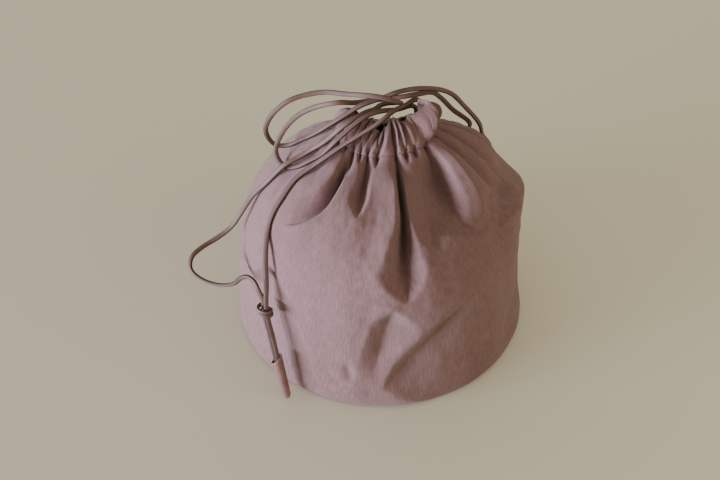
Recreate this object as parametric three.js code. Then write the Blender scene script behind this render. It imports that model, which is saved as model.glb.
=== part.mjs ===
import * as THREE from 'three';

// Drawstring pouch standing on its round base, drawn shut. Millimetres, +Z up, front towards -Y.

// Driving sizes.
const clothThickness = 1.2;
const pieceGap = 0.3;
const baseThickness = 1.4;
const meridianLength = 170;
const casingDepth = 8.2;
const channelWall = 1.0;
const channelHeight = 0.74;
const outletAngle = 40;
const outletHalfAngle = 12;
const cordDiameter = 2.5;
const cordSides = 8;
const knotHeight = 6.4;
const knotRadius = 4.5;
const knotBore = 3.2;
const tagLength = 30.5;
const tagTopRadius = 3.7;
const tagTipRadius = 2.4;
const tagSocketRadius = 3.1;
const tagSocketDepth = 4;

// How the cloth bends: roundness of the ribs, edge of the valleys, where the ribs begin, steepest wall.
const ribPower = 2.3;
const valleyPower = 1.2;
const neckFrom = 0.88;
const neckOver = 0.10;
const steepest = 2.2;
const narrowFrom = 0.14;
const narrowOver = 0.52;
const dentOpens = 0.3;
const dentFades = 0.5;
const sideRadius = 88;
const calmFloor = 0.12;
const slopeProbe = 1.5;
const gatherFrom = 0.45;
const gatherOver = 0.3;

// How finely the cloth is faceted: places across a rib, and shares of the wall from floor to stitch line.
const ribPlaces = [0, 0.1, 0.28, 0.5, 0.72, 0.9];
const wallRows = [
  0, 0.04, 0.11, 0.18, 0.26, 0.33, 0.4, 0.455, 0.5, 0.57, 0.64, 0.705, 0.775, 0.83, 0.88, 0.925, 0.965, 1,
];

function tableOf(columns, rows) {
  return rows.map((row) => Object.fromEntries(columns.map((column, i) => [column, row[i]])));
}

// The wall from the floor edge to the stitch line under the casing: a row for each section.
const sections = tableOf(
  ['left', 'right', 'front', 'back', 'sideZ', 'frontZ', 'backZ'],
  [
    [87.6, 87.6, 87.6, 87.6, 0.3, 0.3, 0.3],
    [91.0, 90.6, 91.5, 91.5, 4.5, 4.5, 4.5],
    [89.5, 86.2, 91.0, 90.5, 30.0, 30.0, 30.0],
    [87.0, 84.5, 90.0, 88.0, 58.0, 60.0, 55.0],
    [81.0, 82.8, 88.0, 83.0, 82.0, 84.0, 76.0],
    [69.0, 72.2, 80.0, 74.0, 103.0, 101.0, 90.0],
    [52.0, 60.8, 64.0, 58.0, 121.0, 114.0, 102.0],
    [38.0, 46.0, 44.0, 41.0, 131.0, 123.0, 112.0],
    [29.0, 31.0, 22.0, 23.0, 138.0, 132.0, 121.0],
  ],
);

// The folds that run down from the gathered mouth, in order round it: a row for each one.
// Degrees from +X of the valley at four places, the share of the wall where it ends, then sizes.
const folds = tableOf(
  [
    'top', 'upper', 'lower', 'tip', 'end', 'depth', 'neckDepth',
    'leftWidth', 'rightWidth', 'leftTop', 'rightTop', 'blunt', 'leftPower',
  ],
  [
    [-77, -78, -80.5, -81, 0.5, 19.0, 9.0, 18.5, 13.5, 3.4, 1.0, 0.26, 1.6],
    [-42, -43.5, -48.5, -43, 0.64, 12.5, 7.0, 26.0, 9.0, 13.0, 4.0, 0.5, 0.75],
    [-20, -21, -21.5, -20.5, 0.68, 3.4, 3.0, 9.0, 5.0, 3.0, 3.0, 0.36, 1.2],
    [-2, -6, -10, -14, 0.6, 3.0, 4.0, 9.0, 7.0, 3.0, 3.0, 0.36, 1.2],
    [15, 14, 12, 11, 0.64, 5.0, 5.0, 9.0, 8.0, 3.0, 3.0, 0.36, 1.2],
    [33, 32, 30, 31, 0.6, 7.0, 5.5, 12.0, 8.0, 3.2, 3.2, 0.36, 1.2],
    [54, 53, 52, 55, 0.74, 5.0, 5.0, 9.0, 6.0, 3.0, 3.0, 0.36, 1.2],
    [73, 74, 75, 71, 0.54, 9.5, 6.0, 12.0, 8.5, 3.2, 3.2, 0.36, 1.2],
    [93, 92, 93, 95, 0.75, 5.0, 5.0, 9.0, 6.0, 3.0, 3.0, 0.36, 1.2],
    [112, 113, 115, 112, 0.57, 9.0, 6.0, 8.0, 12.5, 3.2, 3.2, 0.36, 1.2],
    [132, 133, 134, 137, 0.73, 5.0, 5.0, 6.0, 9.0, 3.0, 3.0, 0.36, 1.2],
    [152, 151, 149, 147, 0.59, 7.0, 5.5, 8.0, 12.0, 3.2, 3.2, 0.36, 1.2],
    [172, 172, 171, 169, 0.68, 4.5, 5.0, 8.0, 8.0, 3.0, 3.0, 0.36, 1.2],
    [192, 193, 195, 198, 0.64, 4.5, 4.0, 9.0, 7.0, 3.0, 3.0, 0.36, 1.2],
    [211, 209, 206, 204, 0.74, 3.5, 5.0, 7.0, 6.0, 3.0, 3.0, 0.36, 1.2],
    [235, 228.5, 226.5, 216.5, 0.64, 12.0, 8.0, 14.0, 4.5, 3.5, 3.5, 0.36, 1.2],
    [252, 252, 251.5, 252, 0.785, 8.5, 7.0, 9.5, 6.0, 4.0, 3.8, 0.4, 1.1],
  ],
);

// Dents in the side cloth, and ridges where the depth is below zero, crisp at the end they run from.
const dents = tableOf(
  ['fromAngle', 'fromShare', 'toAngle', 'toShare', 'depth', 'leftWidth', 'rightWidth'],
  [
    [-86, 0.474, -94.5, 0.215, 7.2, 10.5, 20.0],
    [-89.8, 0.196, -50, 0.475, 7.8, 8.5, 42.0],
    [-101.5, 0.215, -104, 0.29, 2.2, 5.0, 4.5],
    [-36, 0.655, -31, 0.99, -3.6, 8.0, 17.0],
    [-30, 0.6, 16, 0.548, -8.0, 14.0, 15.0],
    [-67, 0.655, -63, 1.06, 4.5, 11.0, 20.0],
    [-20, 0.69, -6, 0.53, 2.0, 6.0, 4.5],
    [-6, 0.58, -14, 0.74, -1.0, 4.0, 3.0],
    [-24, 0.26, -6, 0.22, 2.0, 6.0, 6.0],
    [100, 0.46, 118, 0.26, 4.0, 11.0, 13.0],
    [62, 0.44, 80, 0.22, 3.6, 12.0, 11.0],
    [196, 0.46, 182, 0.3, 2.8, 11.0, 10.0],
  ],
);

const roundSteps = folds.length * ribPlaces.length;

// The two raised lobes of the casing at the ends of the closed mouth.
const lobes = tableOf(
  ['angle', 'spread', 'rise', 'push'],
  [
    [-16, 38, 8, 6],
    [178, 34, 1, 0],
  ],
);

// Places where the rim of the casing stands lower, as a share of its height.
const dips = tableOf(
  ['angle', 'spread', 'share'],
  [
    [-101, 17, 0.30],
    [-140, 18, 0.12],
    [100, 40, 0.10],
  ],
);

const toRadians = (degrees) => (degrees * Math.PI) / 180;
const turnDifference = (a, b) => Math.atan2(Math.sin(a - b), Math.cos(a - b));
const clamp = (x, low, high) => Math.min(Math.max(x, low), high);
const ease = (x) => {
  const t = clamp(x, 0, 1);
  return t * t * (3 - 2 * t);
};

// One smooth curve through the rows of a section column.
function alongRows(rows, column, share) {
  const last = rows.length - 1;
  const x = clamp(share, 0, 1) * last;
  const i = Math.min(Math.floor(x), last - 1);
  const f = x - i;
  const p0 = rows[Math.max(i - 1, 0)][column];
  const p1 = rows[i][column];
  const p2 = rows[i + 1][column];
  const p3 = rows[Math.min(i + 2, last)][column];
  const square = (2 * p0 - 5 * p1 + 4 * p2 - p3) * f * f;
  const cube = (3 * p1 - p0 - 3 * p2 + p3) * f * f * f;
  return 0.5 * (2 * p1 + (p2 - p0) * f + square + cube);
}

// The smooth body under the folds.
function smoothBody(angle, share) {
  const c = Math.cos(angle);
  const s = Math.sin(angle);
  const rx = alongRows(sections, c > 0 ? 'right' : 'left', share);
  const ry = alongRows(sections, s > 0 ? 'back' : 'front', share);
  const zy = alongRows(sections, s > 0 ? 'backZ' : 'frontZ', share);
  const zx = alongRows(sections, 'sideZ', share);
  return new THREE.Vector3(rx * c, ry * s, zx * c * c + zy * s * s);
}

function outwardNormal(angle, share) {
  const step = 0.004;
  const low = clamp(share - step, 0.02, 1 - 2 * step);
  const around = smoothBody(angle + step, share).sub(smoothBody(angle - step, share));
  const upward = smoothBody(angle, low + 2 * step).sub(smoothBody(angle, low));
  return around.cross(upward).normalize();
}

// Degrees of a fold's valley at a share of the wall: one cubic through its four places.
function valleyAngle(fold, share) {
  const c = clamp((share - fold.end) / (1 - fold.end), 0, 1);
  const tip = (fold.tip * (1 - 3 * c) * (2 - 3 * c) * (1 - c)) / 2;
  const lower = (fold.lower * 9 * c * (2 - 3 * c) * (1 - c)) / 2;
  const upper = (fold.upper * 9 * c * (3 * c - 1) * (1 - c)) / 2;
  const top = (fold.top * c * (3 * c - 1) * (3 * c - 2)) / 2;
  return tip + lower + upper + top;
}

// Opens fast from a crisp end.
const opening = (x) => 1 - Math.pow(1 - clamp(x, 0, 1), 2);

function valley(across, left, right, leftPower) {
  const width = Math.max(across < 0 ? left : right, 0.001);
  return Math.pow(clamp(1 - Math.abs(across) / width, 0, 1), across < 0 ? leftPower : valleyPower);
}

// Depth of the round ribs that stand between the folds at the neck.
function ribDepth(angle) {
  const turn = (angle * 180) / Math.PI;
  const first = folds[0].top;
  const place = first + ((((turn - first) % 360) + 360) % 360);
  for (let k = 0; k < folds.length; k += 1) {
    const from = folds[k];
    const to = folds[(k + 1) % folds.length];
    const end = k + 1 < folds.length ? to.top : first + 360;
    if (place > end) continue;
    const f = (place - from.top) / (end - from.top);
    const t = Math.abs(2 * f - 1);
    const deep = from.neckDepth + (to.neckDepth - from.neckDepth) * f;
    return deep * (1 - Math.pow(1 - Math.pow(t, ribPower), 1 / ribPower));
  }
  return 0;
}

// Depth of the folds at a place on the wall, in millimetres along the inward normal.
function foldDepth(angle, share, radius) {
  let depth = 0;
  for (const fold of folds) {
    const q = (share - fold.end) / (1 - fold.end);
    if (q <= 0) continue;
    const across = turnDifference(angle, toRadians(valleyAngle(fold, share))) * radius;
    const wide = opening(q / fold.blunt);
    const near = ease((q - narrowFrom) / narrowOver);
    const left = wide * (fold.leftWidth + (fold.leftTop - fold.leftWidth) * near);
    const right = wide * (fold.rightWidth + (fold.rightTop - fold.rightWidth) * near);
    depth += fold.depth * wide * valley(across, left, right, fold.leftPower);
  }
  for (const dent of dents) {
    const ux = turnDifference(toRadians(dent.toAngle), toRadians(dent.fromAngle)) * sideRadius;
    const uy = (dent.toShare - dent.fromShare) * meridianLength;
    const px = turnDifference(angle, toRadians(dent.fromAngle)) * Math.min(radius, sideRadius);
    const py = (share - dent.fromShare) * meridianLength;
    const size = Math.hypot(ux, uy);
    const t = (px * ux + py * uy) / (size * size);
    if (t <= 0 || t >= 1) continue;
    const across = ((ux * py - uy * px) / size) * (uy < 0 ? 1 : -1);
    const wide = opening(t / dentOpens);
    const fade = 1 - ease((t - dentFades) / (1 - dentFades));
    const cut = valley(across, wide * dent.leftWidth, wide * dent.rightWidth, valleyPower);
    depth += dent.depth * wide * fade * cut;
  }
  const neck = ease((share - neckFrom) / neckOver);
  return (depth * (1 - neck) + ribDepth(angle) * neck) * ease(share / calmFloor);
}

const depthAt = (angle, share) => {
  const point = smoothBody(angle, share);
  return foldDepth(angle, share, Math.hypot(point.x, point.y));
};

// The wall's outer face, or its inner face where the cloth's thickness is given.
function wallPoint(angle, share, thickness) {
  const point = smoothBody(angle, share);
  const normal = outwardNormal(angle, share);
  const depth = depthAt(angle, share);
  const step = slopeProbe / Math.max(Math.hypot(point.x, point.y), 10);
  const slope = (depthAt(angle + step, share) - depthAt(angle - step, share)) / (2 * slopeProbe);
  const steep = Math.min(Math.hypot(1, slope), steepest);
  return point.addScaledVector(normal, -depth - thickness * steep);
}

function skinFrom(positions, faces) {
  const geometry = new THREE.BufferGeometry();
  geometry.setAttribute('position', new THREE.Float32BufferAttribute(positions, 3));
  geometry.setIndex(faces);
  geometry.computeVertexNormals();
  return geometry;
}

// A closed skin from rings of points: rings[k][i], joined ring to ring and last ring to first.
function closedSkin(rings) {
  const around = rings[0].length;
  const positions = [];
  for (const ring of rings) {
    for (const p of ring) positions.push(p.x, p.y, p.z);
  }
  const faces = [];
  for (let k = 0; k < rings.length; k += 1) {
    const next = (k + 1) % rings.length;
    for (let i = 0; i < around; i += 1) {
      const j = (i + 1) % around;
      faces.push(k * around + i, k * around + j, next * around + j);
      faces.push(k * around + i, next * around + j, next * around + i);
    }
  }
  return skinFrom(positions, faces);
}

// The wall's upright lines follow the valleys, so that each fold keeps its crease with few facets.
function columnAngle(i, share) {
  const k = Math.floor(i / ribPlaces.length) % folds.length;
  const from = valleyAngle(folds[k], share);
  const next = folds[(k + 1) % folds.length];
  const to = valleyAngle(next, share) + (k + 1 < folds.length ? 0 : 360);
  const even = (i % ribPlaces.length) / ribPlaces.length;
  const place = even + (ribPlaces[i % ribPlaces.length] - even) * ease((share - gatherFrom) / gatherOver);
  const turns = Math.floor(i / roundSteps);
  return toRadians(from + (to - from) * place + 360 * turns);
}

function ringAt(share, thickness) {
  const ring = [];
  for (let i = 0; i < roundSteps; i += 1) ring.push(wallPoint(columnAngle(i, share), share, thickness));
  return ring;
}

// Side wall: outer face up, inner face down.
function wallGeometry() {
  const outer = wallRows.map((share) => ringAt(share, 0));
  const inner = wallRows.map((share) => ringAt(share, clothThickness)).reverse();
  return closedSkin([...outer, ...inner]);
}

// Round base, a flat disc that fills the wall's lower edge.
function baseGeometry() {
  const shape = new THREE.Shape();
  for (let i = 0; i < roundSteps; i += 1) {
    const edge = wallPoint((2 * Math.PI * i) / roundSteps, 0, clothThickness);
    const reach = 1 - pieceGap / Math.hypot(edge.x, edge.y);
    if (i === 0) shape.moveTo(edge.x * reach, edge.y * reach);
    else shape.lineTo(edge.x * reach, edge.y * reach);
  }
  shape.closePath();
  return new THREE.ExtrudeGeometry(shape, { depth: baseThickness, bevelEnabled: false });
}

// Casing: the top edge folded over into a channel, pleated like the wall below it.
const rimHalfWidth = 25;
const rimHalfDepth = 12;
const rimFrontZ = 150;
const rimSideZ = 149;
const rimBackZ = 136;
const mouthShift = 1;
const rimPleatShare = 0.6;
const innerPleatShare = 0.3;

function rimPoint(angle) {
  const c = Math.cos(angle);
  const s = Math.sin(angle);
  const zy = s > 0 ? rimBackZ : rimFrontZ;
  const z = rimSideZ * c * c + zy * s * s;
  const point = new THREE.Vector3(mouthShift + rimHalfWidth * c, rimHalfDepth * s, z);
  for (const lobe of lobes) {
    const off = turnDifference(angle, toRadians(lobe.angle)) / toRadians(lobe.spread);
    const bump = Math.exp(-off * off);
    point.z += lobe.rise * bump;
    point.x += lobe.push * bump * Math.sign(c);
  }
  return point;
}

// A place in the casing: across goes from the outer face (0) inwards, along from stitch line to rim.
function casingPoint(angle, across, along) {
  const stitch = wallPoint(angle, 1, 0);
  const rim = rimPoint(angle);
  const inward = new THREE.Vector3(-rim.x, -rim.y * 1.6, 0).normalize();
  for (const dip of dips) {
    const off = turnDifference(angle, toRadians(dip.angle)) / toRadians(dip.spread);
    rim.lerp(stitch, dip.share * Math.exp(-off * off));
  }
  const pleat = ribDepth(angle);
  rim.addScaledVector(inward, pleat * rimPleatShare);
  const lift = rim.clone().sub(stitch).normalize();
  const point = stitch.addScaledVector(lift, pieceGap).lerp(rim, along);
  const share = across / casingDepth;
  return point.addScaledVector(inward, across - pleat * innerPleatShare * share);
}

// The casing is open where the cord comes out, so it is a sweep with two cut ends.
function casingGeometry() {
  const inner = casingDepth;
  const wall = channelWall;
  const profile = tableOf(
    ['across', 'along'],
    [
      [0, 0],
      [0, channelHeight],
      [inner * 0.34, 1],
      [inner * 0.72, 0.97],
      [inner, 0.7],
      [inner, 0],
      [inner - wall, 0],
      [inner - wall, channelHeight],
      [wall, channelHeight],
      [wall, 0],
    ],
  );
  const count = profile.length;
  const start = toRadians(outletAngle + outletHalfAngle);
  const sweep = 2 * Math.PI - 2 * toRadians(outletHalfAngle);
  const positions = [];
  const angles = [start, start + sweep];
  for (let i = 0; i < 2 * roundSteps; i += 1) {
    const angle = columnAngle(i, 1);
    if (angle > start + 0.02 && angle < start + sweep - 0.02) angles.push(angle);
  }
  angles.sort((a, b) => a - b);
  for (const angle of angles) {
    for (const p of profile) {
      const point = casingPoint(angle, p.across, p.along);
      positions.push(point.x, point.y, point.z);
    }
  }
  const faces = [];
  for (let i = 0; i < angles.length - 1; i += 1) {
    for (let k = 0; k < count; k += 1) {
      const a = i * count + k;
      const b = i * count + ((k + 1) % count);
      faces.push(a, a + count, b + count, a, b + count, b);
    }
  }
  const outline = profile.map((p) => new THREE.Vector2(p.across, p.along * 18));
  const last = (angles.length - 1) * count;
  for (const [a, b, c] of THREE.ShapeUtils.triangulateShape(outline, [])) {
    faces.push(a, c, b);
    faces.push(last + a, last + b, last + c);
  }
  return skinFrom(positions, faces);
}

// Route of the drawstring's long side: outlet, first loop, bight behind, second loop, hitch, free end.
const longRoute = [
  [19, 11.2, 136.5], [18.9, 10.1, 142.5], [15.4, 4.9, 148.4], [7.8, -0.6, 149.6],
  [-0.5, -6, 152.5], [-7.5, -10, 153], [-13.5, -14, 151.5], [-26, -20.5, 143],
  [-34.56, -19.53, 132.65], [-42.33, -18.87, 127.02], [-47.88, -16.63, 122.06],
  [-54.2, -12.67, 118.27], [-59.11, -7.31, 118.52], [-61.1, -3.9, 124.1], [-56.5, -1.5, 135],
  [-49, 0, 144], [-39, -1, 151], [-25, -4, 156.5], [-15.5, 1, 153], [-4, 4.5, 152.5],
  [8, 2.5, 155.5], [18.5, 5.5, 155.5], [27.5, 12, 152.5], [33, 17, 145.5], [41.5, 25, 131.5],
  [52.6, 34.2, 116.6], [54.9, 48.2, 100.5], [56.9, 55.5, 91.7], [60.4, 55.8, 87.6], [65.5, 51.6, 86.2],
  [68.2, 44.8, 91.4], [62.2, 37.2, 104.4], [58.3, 29.8, 118.5], [47, 21, 137.5],
  [40, 16, 148], [33.5, 11, 154.5],
  [25, 7, 158.5], [15, 3, 160.5], [7, 1.5, 159.5], [0, -0.5, 157.5], [-13, -5, 155],
  [-21.5, -7, 150], [-30, -6.5, 143.5], [-37.55, -2.5, 135.11], [-45.1, 1.52, 128.03],
  [-55.26, 6.02, 119.83], [-61.8, 5.9, 120.3], [-65.5, 4, 126.5], [-66.5, 2, 135], [-62.5, 2, 144],
  [-53, 2.5, 153], [-43.5, 4, 156], [-32.5, 4, 158], [-21.5, 0, 159.5], [-7, -5, 161.5],
  [0.5, -5.5, 160.5], [6, -4, 157.5], [9.7, 1.2, 152.7], [8.8, 6, 149.6], [4.7, 8.5, 147.8],
  [-0.5, 7.3, 147.6], [-4.6, 1.4, 148.5], [-8.5, -5, 151.5], [-13, -9.5, 152], [-21, -14.5, 149.5],
  [-32, -14, 138], [-39.5, -12, 131], [-47, -12.5, 126], [-56, -15, 121.5], [-66.5, -13, 108],
  [-75.5, -12.5, 97.5], [-82, -16, 88.5], [-89.5, -18, 77.5], [-98.5, -22, 72], [-106, -27, 70],
  [-111.5, -34, 68.5], [-111.5, -41, 65.5], [-105.5, -47, 64], [-96, -52, 64], [-85.5, -57, 69],
  [-79.3, -59.8, 76.9], [-75.4, -62.4, 80.1], [-71.7, -65.7, 79.6], [-69.3, -68.8, 75.3],
  [-67.05, -69.85, 69.25], [-66.8, -71.95, 61.25], [-64.6, -75.05, 48.75], [-61.4, -79.25, 28.25],
];

// Route of its short side: outlet, over the gathers, down the front left to the same end.
const shortRoute = [
  [21.6, 9.7, 136.5], [22.9, 10.2, 143], [18.6, 6.6, 151.4], [12, -1, 152.7], [5, -8, 153.5],
  [1, -13.5, 153.5], [-4.5, -17.5, 151], [-13.5, -20, 146], [-23, -21.5, 140], [-32, -23, 133.5],
  [-39.55, -23.53, 127.61], [-49.12, -26.09, 120.61], [-56.62, -32.43, 112.28],
  [-62.11, -37.67, 104.47], [-64.77, -43.68, 97.19], [-65.5, -51.5, 91], [-65.5, -59, 85],
  [-65, -66, 78], [-65.35, -72.15, 69.75], [-65.1, -74.25, 61.75], [-62.9, -77.35, 49.25],
  [-59.7, -81.55, 28.75],
];

// A route whose steps fall on its own points, so close bends get more of them.
class Route extends THREE.CatmullRomCurve3 {
  getPointAt(u, target) {
    return this.getPoint(u, target);
  }

  getTangentAt(u, target) {
    return this.getTangent(u, target);
  }
}

function cordGeometry(points) {
  const section = new THREE.Shape();
  for (let i = 0; i < cordSides; i += 1) {
    const angle = (2 * Math.PI * i) / cordSides;
    const x = 0.5 * cordDiameter * Math.cos(angle);
    const y = 0.5 * cordDiameter * Math.sin(angle);
    if (i === 0) section.moveTo(x, y);
    else section.lineTo(x, y);
  }
  section.closePath();
  const extrudePath = new Route(points);
  return new THREE.ExtrudeGeometry(section, { steps: points.length - 1, extrudePath, bevelEnabled: false });
}

const asVectors = (rows) => rows.map(([x, y, z]) => new THREE.Vector3(x, y, z));

// A round piece on the line between two points: rows of a table give radius and distance along it.
function turnedBetween(from, to, rows, segments) {
  const profile = rows.map((row) => new THREE.Vector2(row.radius, row.along));
  const geometry = new THREE.LatheGeometry(profile, segments);
  const axis = to.clone().sub(from).normalize();
  const turn = new THREE.Quaternion().setFromUnitVectors(new THREE.Vector3(0, 1, 0), axis);
  geometry.applyQuaternion(turn);
  geometry.translate(from.x, from.y, from.z);
  return geometry;
}

// Wrapped ring that slides on both sides of the drawstring.
function knotGeometry() {
  const from = new THREE.Vector3(-66.15, -71.4, 68.0);
  const to = new THREE.Vector3(-65.95, -73.1, 61.5);
  const h = knotHeight;
  const rows = tableOf(
    ['radius', 'along'],
    [
      [knotBore, 0.4],
      [knotRadius - 0.5, 0],
      [knotRadius, h * 0.25],
      [knotRadius - 0.35, h * 0.5],
      [knotRadius, h * 0.75],
      [knotRadius - 0.5, h],
      [knotBore, h - 0.4],
      [knotBore, 0.4],
    ],
  );
  return turnedBetween(from, to, rows, 16);
}

// Rolled leather end with a socket that both cord ends go into.
function tagGeometry() {
  const from = new THREE.Vector3(-61.1, -79.9, 31.6);
  const to = new THREE.Vector3(-56.0, -84.0, 1.0);
  const rows = tableOf(
    ['radius', 'along'],
    [
      [0, tagSocketDepth],
      [tagSocketRadius, tagSocketDepth],
      [tagSocketRadius, 0.3],
      [tagTopRadius - 0.2, 0],
      [tagTopRadius, 1.2],
      [tagTopRadius * 0.98, tagLength * 0.4],
      [tagTipRadius + 0.3, tagLength * 0.93],
      [tagTipRadius * 0.7, tagLength],
      [0, tagLength + 0.4],
    ],
  );
  return turnedBetween(from, to, rows, 14);
}

const group = new THREE.Group();
group.name = 'drawstring_pouch';

function addPiece(name, geometry, color, roughness) {
  const material = new THREE.MeshStandardMaterial({ color, roughness, metalness: 0 });
  const mesh = new THREE.Mesh(geometry, material);
  mesh.name = name;
  group.add(mesh);
  return mesh;
}

addPiece('pouch_wall', wallGeometry(), 0xa98d90, 0.9);
addPiece('base_panel', baseGeometry(), 0xa98d90, 0.9);
addPiece('casing', casingGeometry(), 0xa98d90, 0.9);
addPiece('drawstring_long', cordGeometry(asVectors(longRoute)), 0x7d5f5c, 0.7);
addPiece('drawstring_short', cordGeometry(asVectors(shortRoute)), 0x7d5f5c, 0.7);
addPiece('slide_knot', knotGeometry(), 0x7d5f5c, 0.7);
addPiece('cord_end_tag', tagGeometry(), 0xa67a76, 0.6);

export default group;
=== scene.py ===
import math

import bpy
import numpy as np
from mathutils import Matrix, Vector
from mathutils.kdtree import KDTree


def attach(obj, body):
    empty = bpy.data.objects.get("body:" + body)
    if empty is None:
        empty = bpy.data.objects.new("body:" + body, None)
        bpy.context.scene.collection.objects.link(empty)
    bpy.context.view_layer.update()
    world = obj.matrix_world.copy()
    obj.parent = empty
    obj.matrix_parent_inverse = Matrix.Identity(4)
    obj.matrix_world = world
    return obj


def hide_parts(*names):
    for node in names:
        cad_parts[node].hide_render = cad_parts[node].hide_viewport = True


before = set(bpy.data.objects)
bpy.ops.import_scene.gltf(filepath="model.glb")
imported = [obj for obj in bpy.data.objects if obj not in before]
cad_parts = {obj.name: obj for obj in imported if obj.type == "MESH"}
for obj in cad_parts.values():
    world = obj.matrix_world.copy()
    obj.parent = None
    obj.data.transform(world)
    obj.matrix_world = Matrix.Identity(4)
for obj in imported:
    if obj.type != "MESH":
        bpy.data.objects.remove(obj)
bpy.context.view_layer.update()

scene = bpy.context.scene
print("pouch: frame loaded,", len(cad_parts), "solids")

# camera, at the photograph's viewing angle
cameraPlan = {
    "place": (-0.01305, -0.4599, 0.4698),
    "tilt": 47.68,  # degrees up from straight down
    "lens": 50,
    "sensor": 36,
    "clipStart": 0.01,
}
cameraData = bpy.data.cameras.new("camera")
cameraData.lens = cameraPlan["lens"]
cameraData.sensor_width = cameraPlan["sensor"]
cameraData.clip_start = cameraPlan["clipStart"]
camera = bpy.data.objects.new("camera", cameraData)
camera.location = cameraPlan["place"]
camera.rotation_euler = (math.radians(cameraPlan["tilt"]), 0, 0)
scene.collection.objects.link(camera)
scene.camera = camera
print("pouch: camera set")


def unit(vectors):
    lengths = np.linalg.norm(vectors, axis=-1, keepdims=True)
    return vectors / np.maximum(lengths, 1e-12)


def ease(x):
    t = np.clip(x, 0, 1)
    return t * t * (3 - 2 * t)


def fullTurn(count):
    return np.linspace(0, 2 * np.pi, count, endpoint=False)


# radians from a direction in degrees, within half a turn either way
def turnFrom(angle, degrees):
    off = angle - np.radians(degrees)
    return np.arctan2(np.sin(off), np.cos(off))


# rows of a table by the names of its columns; a short row ends like the usual one
def columnsOf(names, rows, usual=()):
    return [dict(zip(names, tuple(row) + tuple(usual[len(row) - len(names):]))) for row in rows]


def gaussian(angle, at, spread, power=2):
    return np.exp(-(turnFrom(angle, at) / math.radians(spread)) ** power)


def lengthsAlong(line):
    return np.r_[0, np.cumsum(np.linalg.norm(np.diff(line, axis=0), axis=1))]


def pointsAt(places, along, line):
    return np.column_stack([np.interp(places, along, line[:, k]) for k in range(3)])


# a mesh object from arrays; uv holds one pair of metres for each corner
def meshPiece(name, points, faces, uv):
    mesh = bpy.data.meshes.new(name)
    mesh.from_pydata(np.asarray(points).tolist(), [], faces)
    layer = mesh.uv_layers.new(name="cloth")
    layer.data.foreach_set("uv", np.asarray(uv, dtype=np.float32).ravel())
    mesh.polygons.foreach_set("use_smooth", [True] * len(mesh.polygons))
    mesh.validate()
    mesh.update()
    piece = bpy.data.objects.new(name, mesh)
    scene.collection.objects.link(piece)
    return piece


# quads of a grid whose rows close round, and the uv of their corners; an order of -1 turns them over
def gridQuads(rows, around, start=0, order=1):
    quads = []
    for i in range(rows - 1):
        low, high = start + i * around, start + (i + 1) * around
        for j in range(around):
            k = (j + 1) % around
            quads.append((low + j, low + k, high + k, high + j)[::order])
    return quads


def gridUv(u, v, order=1):
    uv = []
    for low, high, v0, v1 in zip(u, u[1:], v, v[1:]):
        for j in range(len(low) - 1):
            uv += [(low[j], v0), (low[j + 1], v0), (high[j + 1], v1), (high[j], v1)][::order]
    return uv


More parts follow.
